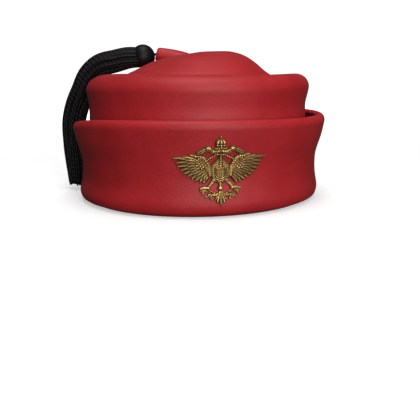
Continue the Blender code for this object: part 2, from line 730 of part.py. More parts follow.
def flat_badge():
    """The relief's parts as closed solids on its flat back: the plates, and the bars and bosses."""
    plates, bars = bmesh.new(), bmesh.new()
    unit = BADGE_WIDTH / 200
    for side in (1, -1):
        for root_across, root_up, tip_across, tip_up in FEATHERS:
            add_bar(bars, badge_spot(side * root_across, root_up), badge_spot(side * tip_across, tip_up),
                    FEATHER_WIDTHS[0] * unit, FEATHER_WIDTHS[1] * unit, FEATHER_RELIEF_SHARE * BADGE_RELIEF)
    for rows, sides in ((BARS, (1, -1)), (CENTRE_BARS, (1,))):
        for side in sides:
            for _, across0, up0, across1, up1, wide0, wide1, share in rows:
                add_bar(bars, badge_spot(side * across0, up0), badge_spot(side * across1, up1),
                        wide0 * unit, wide1 * unit, share * BADGE_RELIEF)
    for rows, sides in ((BOSSES, (1, -1)), (CENTRE_BOSSES, (1,))):
        for side in sides:
            for _, across, up, half_width, half_height, share in rows:
                add_boss(bars, badge_spot(side * across, up), half_width * unit, half_height * unit,
                         share * BADGE_RELIEF)
    for rows, sides in ((WING_PLATES, (1, -1)), (CENTRE_PLATES, (1,))):
        for side in sides:
            for _, edge_share, middle_share, corners in rows:
                outline = [badge_spot(side * across, up) for across, up in corners]
                middle = sum(outline, Vector((0.0, 0.0))) / len(outline)
                add_prism(plates, outline, edge_share * BADGE_RELIEF, [middle], middle_share * BADGE_RELIEF)
    return plates, bars


def evaluated(made):
    """The mesh of an object as its modifiers leave it, as a bmesh. The object and its helpers are removed."""
    helpers = [modifier.object for modifier in made.modifiers]
    graph = bpy.context.evaluated_depsgraph_get()
    mesh = bpy.data.meshes.new_from_object(made.evaluated_get(graph))
    builder = bmesh.new()
    builder.from_mesh(mesh)
    for old in [made, *helpers]:
        bpy.data.objects.remove(old)
    return builder


def cuff_corners(column, height):
    """A corner line of the faceted cuff at a height: the point on its outer face, and the way out of it."""
    degrees = TASSEL_HEADING + 360.0 * column / COLUMNS
    at = place(degrees, cuff_faces(height, degrees)[1], height)
    step = FELT
    slope = (cuff_faces(height + step, degrees)[1] - cuff_faces(height - step, degrees)[1]) / (2 * step)
    return at, (place(degrees, 1.0, 0.0) - Vector((0, 0, slope))).normalized()


def on_cuff(point, reach):
    """A point of the flat badge, laid on the faceted cuff."""
    turn = 270.0 + math.degrees(point.x / reach)
    column = (turn - TASSEL_HEADING) * COLUMNS / 360.0
    whole = math.floor(column)
    height = BADGE_CENTRE_HEIGHT + point.y
    at0, way0 = cuff_corners(whole, height)
    at1, way1 = cuff_corners(whole + 1, height)
    t = column - whole
    return at0.lerp(at1, t) + way0.lerp(way1, t).normalized() * (point.z + CLEARANCE)


def build_badge():
    """The cast relief, bent to the cuff, with the stud that goes through the felt."""
    plates, bars = flat_badge()
    relief = finished("relief", plates, (0.30, 0.18, 0.06), 0.4, 1.0)
    boolean(relief, finished("relief_bars", bars, (0.30, 0.18, 0.06), 0.4, 1.0), "UNION")
    relief.modifiers[0].use_self = True
    builder = evaluated(relief)
    reach = cuff_faces(BADGE_CENTRE_HEIGHT)[1]
    pitch = math.radians(360.0 / COLUMNS) * reach
    offset = math.radians((270.0 - TASSEL_HEADING) % (360.0 / COLUMNS)) * reach
    reached = math.ceil(BADGE_WIDTH / 2 / pitch)
    for k in range(-reached, reached + 2):
        cut_across(builder, Vector((k * pitch - offset, 0, 0)), Vector((1, 0, 0)))
    for height in cuff_bends():
        cut_across(builder, Vector((0, height - BADGE_CENTRE_HEIGHT, 0)), Vector((0, 1, 0)))
    for vertex in builder.verts:
        vertex.co = on_cuff(vertex.co, reach)
    badge = finished("badge", builder, (0.30, 0.18, 0.06), 0.4, 1.0)
    far = cuff_faces(stud_height())[1] + CLEARANCE + STUD_SEAT
    stud = front_rod("stud", STUD_RADIUS, nut_faces()[0] - STUD_PROUD, far, stud_height(), STUD_SIDES)
    boolean(badge, stud, "UNION")
    return badge


def cut_across(builder, at, way):
    """Adds an edge line along a plane, so that the faces can bend there."""
    everything = builder.verts[:] + builder.edges[:] + builder.faces[:]
    bmesh.ops.bisect_plane(builder, geom=everything, plane_co=at, plane_no=way, dist=1e-6)


def nut_faces():
    """How far in front of the axis the nut's two faces are. It clears the facets of the cuff's inner face."""
    inner, _ = cuff_faces(stud_height())
    outer_face = inner - NUT_RADIUS * math.tan(math.pi / COLUMNS) - CLEARANCE
    return outer_face - NUT_THICKNESS, outer_face


def build_nut():
    near, far = nut_faces()
    nut = front_rod("badge_nut", NUT_RADIUS, near, far, stud_height(), NUT_SIDES)
    hole = front_rod("nut_hole", STUD_RADIUS + CLEARANCE, near - NUT_THICKNESS, far + NUT_THICKNESS,
                     stud_height(), STUD_SIDES)
    boolean(nut, hole, "DIFFERENCE")
    return nut


def centre_model():
    """Stands the model on z = 0 with the origin under the middle of its box."""
    bpy.context.view_layer.update()
    graph = bpy.context.evaluated_depsgraph_get()
    corners = []
    for made in bpy.context.scene.objects:
        if made.type == "MESH" and not made.hide_render:
            shown = made.evaluated_get(graph)
            corners += [made.matrix_world @ vertex.co for vertex in shown.to_mesh().vertices]
            shown.to_mesh_clear()
    low = [min(corner[k] for corner in corners) for k in range(3)]
    high = [max(corner[k] for corner in corners) for k in range(3)]
    base = bpy.data.objects.new("fez", None)
    bpy.context.scene.collection.objects.link(base)
    for made in bpy.context.scene.objects:
        if made.type == "MESH":
            made.parent = base
    base.location = (-(low[0] + high[0]) / 2, -(low[1] + high[1]) / 2, -low[2])


def build():
    for old in list(bpy.data.objects):
        bpy.data.objects.remove(old)
    build_cap()
    build_cord()
    build_tassel()
    build_badge()
    build_nut()
    centre_model()


build()
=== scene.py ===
# A red felt fez with a black tassel and a cast badge, on a pale studio floor.
import math

import bmesh
import bpy
import numpy as np
from mathutils import Matrix, Vector, noise


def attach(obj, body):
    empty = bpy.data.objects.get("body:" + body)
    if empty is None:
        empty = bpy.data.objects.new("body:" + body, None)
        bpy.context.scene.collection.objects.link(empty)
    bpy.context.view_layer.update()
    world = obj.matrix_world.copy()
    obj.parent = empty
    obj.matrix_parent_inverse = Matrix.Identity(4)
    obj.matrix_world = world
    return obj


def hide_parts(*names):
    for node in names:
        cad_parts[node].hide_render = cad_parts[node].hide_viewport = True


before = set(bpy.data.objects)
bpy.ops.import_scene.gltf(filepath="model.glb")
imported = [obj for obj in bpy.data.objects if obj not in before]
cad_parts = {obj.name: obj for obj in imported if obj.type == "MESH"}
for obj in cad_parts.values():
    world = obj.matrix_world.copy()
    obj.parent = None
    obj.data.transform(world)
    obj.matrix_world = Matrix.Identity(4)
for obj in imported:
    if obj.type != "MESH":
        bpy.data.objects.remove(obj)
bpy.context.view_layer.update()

# The cap's own upright axis meets the floor in the middle of its lowest ring.
places = np.array([vertex.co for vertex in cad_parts["felt_cap"].data.vertices])
lowest = places[places[:, 2] < places[:, 2].min() + 0.0002]
capAxis = Vector((*(lowest.min(0) + lowest.max(0))[:2] / 2, 0.0))
print("frame loaded, cap axis at", [round(v, 5) for v in capAxis])


# Camera, lights and floor

camera = {
    "back": 0.5117,  # from the cap's axis, level
    "side": 0.0098,
    "height": 0.0990,
    "turn": 9.7,  # degrees: the cap's front is turned this much to the camera's right
    "dip": 12.67,  # degrees below level
    "roll": 0.65,
    "view": 40.0,  # degrees across the picture
}


def spot(degrees, radius, height):
    bearing = math.radians(degrees)
    return Vector((radius * math.cos(bearing), radius * math.sin(bearing), height))


def makeCamera():
    data = bpy.data.cameras.new("camera")
    data.sensor_width = 36.0
    data.lens = 18.0 / math.tan(math.radians(camera["view"] / 2))
    data.clip_start = 0.01
    made = bpy.data.objects.new("camera", data)
    bpy.context.scene.collection.objects.link(made)
    turning = Matrix.Rotation(math.radians(-camera["turn"]), 4, "Z")
    made.location = capAxis + turning @ Vector((camera["side"], -camera["back"], camera["height"]))
    aim = (
        turning
        @ Matrix.Rotation(math.radians(90 - camera["dip"]), 4, "X")
        @ Matrix.Rotation(math.radians(-camera["roll"]), 4, "Z")
    )
    made.rotation_euler = aim.to_euler()
    bpy.context.scene.camera = made


# Lamps stand round the cap at a bearing from +X and a height angle, both in degrees.
studio = {
    "lamps": (
        # name, bearing, height angle, distance, size, share of white, whether it shows in glossy surfaces
        ("front", 272.0, 3.0, 1.5, 0.8, 0.58, True),
        ("frontHigh", 274.0, 38.0, 1.5, 0.6, 0.24, True),
        ("right", 305.0, 8.0, 1.5, 0.8, 0.07, True),
        ("top", 264.0, 80.0, 1.5, 0.8, 0.47, True),
        ("back", 85.0, 25.0, 1.6, 1.0, 0.28, False),
    ),
    "aimHeight": 0.06,
    "sky": 0.06,
    "floorColour": (0.80, 0.80, 0.80),
    "floorPatches": 0.985,  # how dark the floor's faint patches are
    "floorGlow": (0.46, 1.0),  # under the cap and far off, where the lamps don't reach
    "glowChange": (0.25, 1.6),  # between these distances from the axis
    "floorRadius": 1.8,
    "sweepRadius": 1.2,
}


def makeLights():
    middle = capAxis + Vector((0.0, 0.0, studio["aimHeight"]))
    for name, bearing, heightAngle, distance, size, share, glossy in studio["lamps"]:
        data = bpy.data.lights.new(name, "AREA")
        data.shape = "DISK"
        data.size = size
        data.energy = share * math.pi**2 * distance**2
        made = bpy.data.objects.new(name, data)
        bpy.context.scene.collection.objects.link(made)
        lift = math.radians(heightAngle)
        away = spot(bearing, math.cos(lift), math.sin(lift))
        made.location = middle + away * distance
        made.rotation_euler = (-away).to_track_quat("-Z", "Y").to_euler()
        made.visible_camera = False
        made.visible_glossy = glossy
    world = bpy.data.worlds.new("sky")
    world.use_nodes = True
    bpy.context.scene.world = world
    background = world.node_tree.nodes["Background"]
    background.inputs["Color"].default_value = (1.0, 1.0, 1.0, 1.0)
    background.inputs["Strength"].default_value = studio["sky"]
    bpy.context.scene.view_settings.view_transform = "Standard"


# Shader helpers


class Value:
    # A shader socket that takes part in sums, so that masks read as plain expressions.
    def __init__(self, finish, socket):
        self.finish = finish
        self.socket = socket

    def maths(self, operation, *terms):
        return self.finish.node("Math", {"operation": operation}, dict(enumerate(terms)))

    def __add__(self, other):
        return self.maths("ADD", self, other)

    def __sub__(self, other):
        return self.maths("SUBTRACT", self, other)

    def __rsub__(self, other):
        return self.maths("SUBTRACT", other, self)

    def __mul__(self, other):
        return self.maths("MULTIPLY", self, other)

    __radd__ = __add__
    __rmul__ = __mul__


class Finish:
    # One material: its shader, and a single way to add any other node.
    def __init__(self, name, **constants):
        self.material = bpy.data.materials.new(name)
        self.material.use_nodes = True
        self.tree = self.material.node_tree
        self.shader = self.tree.nodes["Principled BSDF"]
        for socket, value in constants.items():
            self.shader.inputs[socket.replace("_", " ")].default_value = value

    def node(self, kind, settings=None, inputs=None, output=0):
        made = self.tree.nodes.new("ShaderNode" + kind)
        for key, value in (settings or {}).items():
            setattr(made, key, value)
        for key, value in (inputs or {}).items():
            self.feed(made.inputs[key], value)
        return Value(self, made.outputs[output])

    def feed(self, socket, value):
        if isinstance(value, Value):
            self.tree.links.new(value.socket, socket)
        elif isinstance(value, tuple) and socket.type == "RGBA":
            socket.default_value = (*value, 1.0)
        else:
            socket.default_value = value

    def put(self, name, value):
        self.feed(self.shader.inputs[name], value)

    def place(self, stretch=(1.0, 1.0, 1.0)):
        where = self.node("TexCoord", output=3)
        return self.node("VectorMath", {"operation": "MULTIPLY"}, {0: where, 1: stretch})

    def noise(self, where, scale, detail=2.0, roughness=0.5, distortion=0.0):
        return self.node("TexNoise", {"noise_dimensions": "3D"}, {
            "Vector": where, "Scale": scale, "Detail": detail,
            "Roughness": roughness, "Distortion": distortion})

    def ramp(self, value, low, high):
        return self.node("MapRange", {"interpolation_type": "SMOOTHSTEP"}, {
            "Value": value, "From Min": low, "From Max": high})

    def mix(self, factor, first, second):
        return self.node("Mix", {"data_type": "RGBA"}, {0: factor, 6: first, 7: second}, output=2)

    def bump(self, height, distance, strength, under=None):
        inputs = {"Height": height, "Distance": distance, "Strength": strength}
        if under is not None:
            inputs["Normal"] = under
        return self.node("Bump", None, inputs)


def newMesh(name, points, faces, material):
    mesh = bpy.data.meshes.new(name)
    mesh.from_pydata([tuple(p) for p in points], [], faces)
    mesh.validate()
    mesh.materials.append(material)
    mesh.shade_smooth()
    made = bpy.data.objects.new(name, mesh)
    bpy.context.scene.collection.objects.link(made)
    return made


def newPiece(name, points, faces, material, replaced):
    # A mesh of the hat itself, which stands for all or part of a node of the frame.
    made = newMesh(name, points, faces, material)
    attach(made, "root")
    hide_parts(replaced)
    return made


def outward(made):
    # Turns every face of a closed mesh to look out.
    builder = bmesh.new()
    builder.from_mesh(made.data)
    bmesh.ops.recalc_face_normals(builder, faces=builder.faces)
    builder.to_mesh(made.data)
    builder.free()


def skinFaces(rows, columns, closeLast=False):
    # Faces between rows of points. The first row is closed over, and the last one if asked.
    faces = []
    for row in range(rows - 1):
        for column in range(columns):
            after = (column + 1) % columns
            faces.append((row * columns + column, row * columns + after,
                          (row + 1) * columns + after, (row + 1) * columns + column))
    faces.append(tuple(range(columns)))
    if closeLast:
        faces.append(tuple(range((rows - 1) * columns, rows * columns)))
    return faces


def makeFloor():
    columns, sweepSteps = 96, 16
    flat, sweep = studio["floorRadius"], studio["sweepRadius"]
    profile = [(0.02, 0.0), (flat * 0.5, 0.0), (flat, 0.0)]
    for step in range(1, sweepSteps + 1):
        angle = math.radians(90 * step / sweepSteps)
        profile.append((flat + sweep * math.sin(angle), sweep * (1 - math.cos(angle))))
    points = [capAxis + spot(360 * column / columns, radius, height)
              for radius, height in profile for column in range(columns)]
    finish = Finish("paleFloor", Roughness=0.9, Emission_Strength=1.0)
    where = finish.place()
    far = finish.node("VectorMath", {"operation": "DISTANCE"}, {0: where, 1: tuple(capAxis)}, output=1)
    near, distant = studio["floorGlow"]
    glow = near + finish.ramp(far, *studio["glowChange"]) * (distant - near)
    finish.put("Emission Color", finish.node("CombineXYZ", None, {0: glow, 1: glow, 2: glow}))
    colour = studio["floorColour"]
    darker = tuple(c * studio["floorPatches"] for c in colour)
    finish.put("Base Color", finish.mix(finish.noise(where, 3.0), colour, darker))
    made = newMesh("floor", points, skinFaces(len(profile), columns), finish.material)
    outward(made)
    made.visible_diffuse = False  # the white sweep doesn't flood the cap with its own light
    made.visible_glossy = False


makeCamera()
makeLights()
makeFloor()
print("studio ready")


# The felt cap

felt = {
    "headRadius": 0.0909,
    "thickness": 0.0027,
    "foldRoom": 0.0077,
    "waistDepth": 0.0022,
    "rimFlare": 0.0041,
    "cuffHeight": 0.0719,
    "crownRise": 0.0326,
    "crownWaistDepth": 0.0008,
    "cornerSwell": 0.0010,
    "cornerWidth": 0.0118,
    "cornerDrop": 0.0090,
    "gutterWidth": 0.0125,
    "gutterDepth": 0.0045,
    "edgeReach": 0.0011,  # how far the free edge bulges past the last station
    "domeRadius": 0.0606,
    "domeRise": 0.0187,
    "columns": 264,
    "rowStep": 0.0019,  # spacing of the mesh's rows
    "lump": 0.00022,  # how uneven hand-felted wool is
    "lumpScales": (28.0, 75.0),
    "lumpFade": 0.006,  # the height at which the unevenness reaches its full size
    "lumpUpright": 0.03,  # nearer the axis than this it moves the felt up, not out
    "deepRed": (0.43, 0.0135, 0.018),
    "red": (0.48, 0.019, 0.025),
    "paleFibre": (0.57, 0.048, 0.055),
}
halfFelt = felt["thickness"] / 2
crownHeight = felt["cuffHeight"] + felt["crownRise"]
# Shares of the lengths that vary round the cap, by bearing.
roundTheCap = {
    "rimHeight": ((350, 0.996), (20, 1.006), (80, 0.979), (143, 0.875), (175, 0.912), (215, 0.985),
                  (265, 1.0), (310, 0.979)),
    "crestHeight": ((350, 0.995), (40, 0.99), (95, 0.98), (148, 0.993), (180, 1.0), (222, 1.001),
                    (262, 0.987), (308, 0.983)),
    "rimFlare": ((350, 1.35), (80, 1.0), (180, 0.85), (265, 1.0)),
    # A soft dent low at the front left makes the waist deeper.
    "waistDepth": ((350, 1.0), (80, 1.0), (168, 1.0), (205, 2.2), (242, 1.0), (290, 1.0)),
    "cornerSwell": ((350, 1.9), (90, 1.0), (180, 0.9), (265, 1.0)),
    "softness": ((350, 0.92), (90, 1.15), (175, 1.5), (265, 1.05)),
}
# The felt's middle line: circle, inset in felts, level, share of the level, lift in felts.
wallStations = (
    ("rim", 1.92, "rim", 1.0, -1.1), ("rim", 1.3, "rim", 1.0, -0.5), ("rim", 0.7, "rim", 1.0, -0.72),
    ("rim", 0.22, "rim", 1.0, -1.32), ("rim", 0.08, "rim", 1.0, -2.1), ("rim", 0.26, "rim", 0.9, -0.4),
    ("rim", 1.05, "rim", 0.75, 0.0), ("waist", -0.22, "rim", 0.55, 0.0), ("waist", 0.0, "rim", 0.41, 0.0),
    ("waist", -0.24, "rim", 0.28, 0.0), ("bulge", 0.0, "rim", 0.125, 0.0),
    ("bulge", 0.55, "rim", 0.06, 0.0), ("bulge", 2.0, "floor", 0.0, 0.95),
    ("bulge", 2.8, "floor", 0.0, 0.5), ("wall", -0.4, "floor", 0.0, 0.5), ("wall", 0.0, "rim", 0.05, 0.0),
    ("wall", 0.0, "rim", 0.15, 0.0), ("wall", 0.0, "rim", 0.52, 0.0), ("wall", 0.12, "rim", 0.92, 0.0),
    ("crownWaist", 0.0, "corner", 1.0, -5.2), ("corner", 0.26, "corner", 1.0, -1.9),
    ("corner", 0.0, "corner", 1.0, 0.1),
)
rolledEdge = ((0.16, 0.52), (0.50, 0.88), (1.00, 1.00))  # share of the way in, share of the rise
valley = ((0.42, 0.32), (1.00, 1.00))  # share of the gutter's width, share of its depth
# Share of the dome's radius, height on the full side, height on the side that the stem draws flat.
domeProfile = (
    (0.0, 0.975, 0.975), (0.2, 1.0, 0.85), (0.35, 1.0, 0.765), (0.5, 0.97, 0.675),
    (0.6, 0.895, 0.585), (0.7, 0.755, 0.46), (0.8, 0.54, 0.31), (0.9, 0.295, 0.155), (1.0, 0.0, 0.0),
)
domeRings = (0.98, 0.88, 0.78, 0.68, 0.57, 0.45, 0.32)
domeInsideRings = (0.98, 0.83, 0.66, 0.47, 0.24)

stem = {
    "heading": 170.3,  # degrees from +X: the way the stem and the tassel run out
    "offset": 0.0280,  # how far behind the cap's axis they run
    "reach": 0.0370,
    "length": 0.0260,
    "radius": 0.0060,
    "tipLift": 0.0181,
    "rootShare": 0.30,  # share of the dome's radius at which its rings would run round the stem's root
    "cordRadius": 0.0011,
    "cordSeat": 0.0045,
    "clearance": 0.0003,
}
# Share of the stem's length, drop in tip radii, lean in degrees, half height and half width in tip radii.
stemRings = (
    (0.1, 0.95, 66.0, 2.0, 1.75), (0.28, 0.7, 42.0, 1.4, 1.36), (0.52, 0.4, 22.0, 1.16, 1.18),
    (0.78, 0.16, 12.0, 1.05, 1.06), (0.95, 0.03, 13.0, 1.0, 1.0), (1.0, 0.0, 14.0, 0.84, 0.84),
)
capBearings = [stem["heading"] + 360.0 * k / felt["columns"] for k in range(felt["columns"])]


def between(first, slope1, second, slope2, t):
    # A smooth step from one value to the next, with given slopes at both.
    return (first * (2 * t**3 - 3 * t**2 + 1) + slope1 * (t**3 - 2 * t**2 + t)
            + second * (3 * t**2 - 2 * t**3) + slope2 * (t**3 - t**2))


def around(name, degrees):
    # The share of a varying length at a bearing.
    rows = sorted((place % 360.0, share) for place, share in roundTheCap[name])
    turns = [(a - 360.0, v) for a, v in rows] + rows + [(a + 360.0, v) for a, v in rows]
    here = degrees % 360.0
    k = max(i for i, (a, _) in enumerate(turns) if a <= here)
    (a0, v0), (a1, v1), (a2, v2), (a3, v3) = turns[k - 1 : k + 3]
    span = a2 - a1
    t = (here - a1) / span
    slope1 = (v2 - v0) / (a2 - a0) * span
    slope2 = (v3 - v1) / (a3 - a1) * span
    return between(v1, slope1, v2, slope2, t)


def circlesAndLevels(degrees):
    wall = felt["headRadius"] + halfFelt
    bulge = wall + felt["thickness"] + felt["foldRoom"]
    corner = wall + felt["cornerSwell"] * around("cornerSwell", degrees)
    soft = around("softness", degrees)
    crest = crownHeight * around("crestHeight", degrees) - halfFelt
    circles = {
        "wall": wall,
        "bulge": bulge,
        "waist": bulge - felt["waistDepth"] * around("waistDepth", degrees),
        "rim": bulge + felt["rimFlare"] * around("rimFlare", degrees),
        "corner": corner,
        "crownWaist": wall - felt["crownWaistDepth"],
        "crest": corner - felt["cornerWidth"] * soft,
    }
    levels = {
        "floor": 0.0,
        "rim": felt["cuffHeight"] * around("rimHeight", degrees),
        "crest": crest,
        "corner": crest - felt["cornerDrop"] * math.sqrt(soft),
    }
    return circles, levels


def domeHeight(x, y):
    share = min(1.0, math.hypot(x, y) / felt["domeRadius"])
    drawn = 0.5 + 0.5 * math.cos(math.atan2(y, x) - math.radians(stem["heading"]))
    k = max(i for i, row in enumerate(domeProfile[:-1]) if row[0] <= share)
    (s0, full0, drawn0), (s1, full1, drawn1) = domeProfile[k : k + 2]
    t = (share - s0) / (s1 - s0)
    fullSide = full0 + (full1 - full0) * t
    drawnSide = drawn0 + (drawn1 - drawn0) * t
    rise = fullSide + (drawnSide - fullSide) * drawn
    return crownHeight + felt["domeRise"] * rise


def wallLine(degrees):
    circles, levels = circlesAndLevels(degrees)
    thick = felt["thickness"]
    line = [(circles[circle] - inset * thick, levels[level] * share + lift * thick)
            for circle, inset, level, share, lift in wallStations]
    cornerRadius, cornerLevel = line[-1]
    rise = levels["crest"] - cornerLevel
    run = cornerRadius - circles["crest"]
    line += [(cornerRadius - run * inward, cornerLevel + rise * up) for inward, up in rolledEdge]
    crestRadius, crestLevel = line[-1]
    line += [(crestRadius - felt["gutterWidth"] * inward, crestLevel - felt["gutterDepth"] * down)
             for inward, down in valley]
    return line


def faceLine(degrees, side):
    # One face of the felt at a bearing: 1 is the wearer's side, -1 the side seen from above.
    line = wallLine(degrees)
    for share in domeInsideRings:
        at = spot(degrees, felt["domeRadius"] * share, 0.0)
        line.append((felt["domeRadius"] * share, domeHeight(at.x, at.y) - halfFelt))
    top = (0.0, domeHeight(0.0, 0.0) - halfFelt)
    moved = []
    for k, (radius, height) in enumerate(line):
        before = line[max(0, k - 1)]
        after = line[k + 1] if k + 1 < len(line) else top
        along = Vector((after[0] - before[0], after[1] - before[1])).normalized()
        lift = side * halfFelt
        if height <= halfFelt:
            moved.append((radius, height - lift))
        else:
            moved.append((radius - along.y * lift, height + along.x * lift))
    return moved


def freeEdge(degrees):
    first, second = (Vector(point) for point in wallLine(degrees)[:2])
    return tuple(first + (first - second).normalized() * felt["edgeReach"])


def planeSpot(out, height):
    # A point of the upright plane that the stem and the tassel share.
    return spot(stem["heading"], out, height) + spot(stem["heading"] - 90, stem["offset"], 0.0)


def planeAxes(way):
    # The two directions across a way (out, up) in that plane: below it, and sideways.
    heading = spot(stem["heading"], 1.0, 0.0)
    return heading * way.y - Vector((0, 0, way.x)), Vector((0, 0, 1)).cross(heading)


def planeRing(centre, way, halfHeight, halfWidth, count):
    below, sideways = planeAxes(way.normalized())
    turns = [2 * math.pi * k / count for k in range(count)]
    tall, wide = below * halfHeight, sideways * halfWidth
    return [planeSpot(*centre) + tall * math.cos(turn) + wide * math.sin(turn) for turn in turns]


def wayAt(degrees):
    return Vector((math.cos(math.radians(degrees)), math.sin(math.radians(degrees))))


def stemTip():
    return Vector((stem["reach"], crownHeight + stem["tipLift"])), wayAt(stemRings[-1][2])


def topRings():
    # The dome's upper face, its rings moving over to the stem's root, and then the stem.
    root = planeSpot(stem["reach"] - stem["length"] * (1 - stemRings[0][0]), 0.0)
    rings = []
    for share in domeRings:
        shift = root * ((domeRings[0] - share) / (domeRings[0] - stem["rootShare"]))
        ring = [shift + spot(bearing, felt["domeRadius"] * share, 0.0) for bearing in capBearings]
        for point in ring:
            point.z = domeHeight(point.x, point.y)
        rings.append(ring)
    for share, drop, lean, tall, wide in stemRings:
        radius = stem["radius"]
        centre = (stem["reach"] - stem["length"] * (1 - share), crownHeight + stem["tipLift"] - drop * radius)
        ring = planeRing(centre, wayAt(lean), tall * radius, wide * radius, felt["columns"])
        for point in ring:
            point.z = max(point.z, domeHeight(point.x, point.y))
        rings.append(ring)
    return rings


def curveRows(control, steps):
    # control: rows x columns x 3. Catmull-Rom along the rows, with a number of steps in each span.
    first = 2 * control[0] - control[1]
    last = 2 * control[-1] - control[-2]
    padded = np.concatenate([first[None], control, last[None]])
    rows = []
    for k in range(len(control) - 1):
        p0, p1, p2, p3 = padded[k : k + 4]
        d0, d1, d2 = [np.linalg.norm(gap, axis=1, keepdims=True) ** 0.5 + 1e-9
                      for gap in (p1 - p0, p2 - p1, p3 - p2)]
        m1 = (p2 - p1) + d1 * ((p1 - p0) / d0 - (p2 - p0) / (d0 + d1))
        m2 = (p2 - p1) + d1 * ((p3 - p2) / d2 - (p3 - p1) / (d1 + d2))
        for step in range(steps[k]):
            rows.append(between(p1, m1, p2, m2, step / steps[k]))
    rows.append(control[-1])
    return np.array(rows)


def feltFinish():
    finish = Finish("redFelt", Roughness=0.52, Specular_IOR_Level=0.40)
    where = finish.place()
    mottle = finish.noise(where, 38.0, 3.0, 0.55)
    tufts = finish.noise(where, 420.0, 4.0, 0.65, 0.4)
    fibres = finish.noise(finish.place((1.0, 1.0, 0.35)), 1500.0, 3.0, 0.6, 0.8)
    shade = finish.mix(finish.ramp(mottle, 0.30, 0.70), felt["deepRed"], felt["red"])
    flecks = finish.ramp(tufts * 0.55 + fibres * 0.45, 0.56, 0.72)
    finish.put("Base Color", finish.mix(flecks * 0.35, shade, felt["paleFibre"]))
    soft = finish.bump(tufts, 0.00035, 0.45)
    finish.put("Normal", finish.bump(fibres, 0.00022, 0.6, soft))
    return finish.material


def feltLump(point):
    # How far the uneven felt stands out at a place, measured from the cap's axis.
    broad, fine = felt["lumpScales"]
    lump = noise.noise(point * broad) + 0.4 * noise.noise(point * fine + Vector((9, 2, 5)))
    return felt["lump"] * lump * min(1.0, max(0.0, point.z) / felt["lumpFade"])


def makeCap():
    columns = felt["columns"]
    wallRows = len(wallStations) + len(rolledEdge) + len(valley)
    lines = [faceLine(b, -1)[:wallRows][::-1] + [freeEdge(b)] + faceLine(b, 1) for b in capBearings]
    walls = np.array([[spot(b, *at) for at in line] for b, line in zip(capBearings, lines)])
    control = np.concatenate([np.array(topRings()[::-1]), walls.transpose(1, 0, 2)])
    spans = np.linalg.norm(control[1:] - control[:-1], axis=2).mean(1)
    steps = [max(2, int(round(span / felt["rowStep"]))) for span in spans]
    grid = curveRows(control, steps)
    grid[:, :, 2] = np.maximum(grid[:, :, 2], 0.0)
    tip, way = stemTip()
    hole = stem["cordRadius"] + stem["clearance"]
    mouth = planeRing(tip, way, hole, hole, columns)
    bottom = planeRing(tip - way * stem["cordSeat"], way, hole, hole, columns)
    top = Vector((0, 0, domeHeight(0, 0) - felt["thickness"]))
    points = bottom + mouth + [Vector(point) for point in grid.reshape(-1, 3)] + [top]
    faces = skinFaces(len(grid) + 2, columns)
    last = (len(grid) + 1) * columns
    faces += [(last + k, last + (k + 1) % columns, len(points) - 1) for k in range(columns)]
    for point in points:
        out = Vector((point.x, point.y, 0.0))
        way = out.normalized() if out.length > felt["lumpUpright"] else Vector((0, 0, 1))
        point += way * feltLump(point)
    points = [point + capAxis for point in points]
    made = newPiece("feltCap", points, faces, feltFinish(), "felt_cap")
    outward(made)
    print("felt cap:", len(made.data.polygons), "faces")


makeCap()


# The tassel

tassel = {
    "ballRadius": 0.0108,
    "ballTilt": 10.0,  # degrees: the head's axis slopes down, away from the stem
    "ballStart": 4.0,  # degrees round the ball, at the cord
    "ballEnd": 114.0,  # degrees round the ball, where the strands come out
    "cordShown": 0.0015,
    "skirtRadius": 0.0112,
    "neckRadius": 0.0094,
    "neckReach": (1.30, 2.25),  # where the strands' middle line starts, from the cord, in ball radii
    "throatLift": 0.14,  # how far the second of these is raised, in skirt radii
    "filledShare": 0.25,  # share of its length in which the skirt reaches its full radius
    "twist": 34.0,
    "strands": 84,
    "strandRadius": 0.00112,
    "strandEnd": 0.75,  # share of its radius at a strand's end
    "plyShift": 0.0137,  # metres, so that strands don't turn in step
    "wander": 0.0004,
    "unevenEnds": 0.0014,
    "locks": 9,
    "lockDepth": 0.17,  # share of the radius by which strands between two locks lie deeper
    "pliesPerMetre": 260.0,
    "black": (0.0028, 0.0027, 0.0028),
    "dullBlack": (0.0056, 0.0054, 0.0056),
}
# The skirt's middle line: circle of the felt, skirt radii out from it, level, share of it, skirt radii up.
tasselRoute = (
    ("crest", 0.2, "crest", 1.0, 1.31), ("corner", -0.12, "crest", 1.0, 0.97),
    ("corner", 0.84, "corner", 1.0, 1.08), ("corner", 1.41, "corner", 1.0, -0.14),
    ("rim", 0.66, "rim", 1.0, 1.34), ("rim", 1.04, "rim", 1.0, -0.01), ("rim", 1.05, "rim", 0.66, 0.0),
    ("bulge", 1.28, "rim", 0.34, 0.0), ("bulge", 1.23, "floor", 0.0, 0.48),
)


def headPole():
    tip, _ = stemTip()
    way = wayAt(-tassel["ballTilt"])
    return tip + way * tassel["cordShown"], way


def skirtLine(steps):
    # The skirt's middle line in the plane, as a smooth curve through the route.
    pole, way = headPole()
    bearing = stem["heading"] - math.degrees(math.asin(stem["offset"] / felt["headRadius"]))
    circles, levels = circlesAndLevels(bearing)
    radius = tassel["skirtRadius"]
    route = [pole + way * tassel["ballRadius"] * reach for reach in tassel["neckReach"]]
    route[1] += Vector((0.0, tassel["throatLift"] * radius))
    for circle, out, level, share, up in tasselRoute:
        feltOut = math.sqrt((circles[circle] + halfFelt) ** 2 - stem["offset"] ** 2)
        route.append(Vector((feltOut + out * radius, levels[level] * share + up * radius)))
    control = np.array([[tuple(point)] for point in route])
    return curveRows(control, [steps] * (len(route) - 1))[:, 0, :]


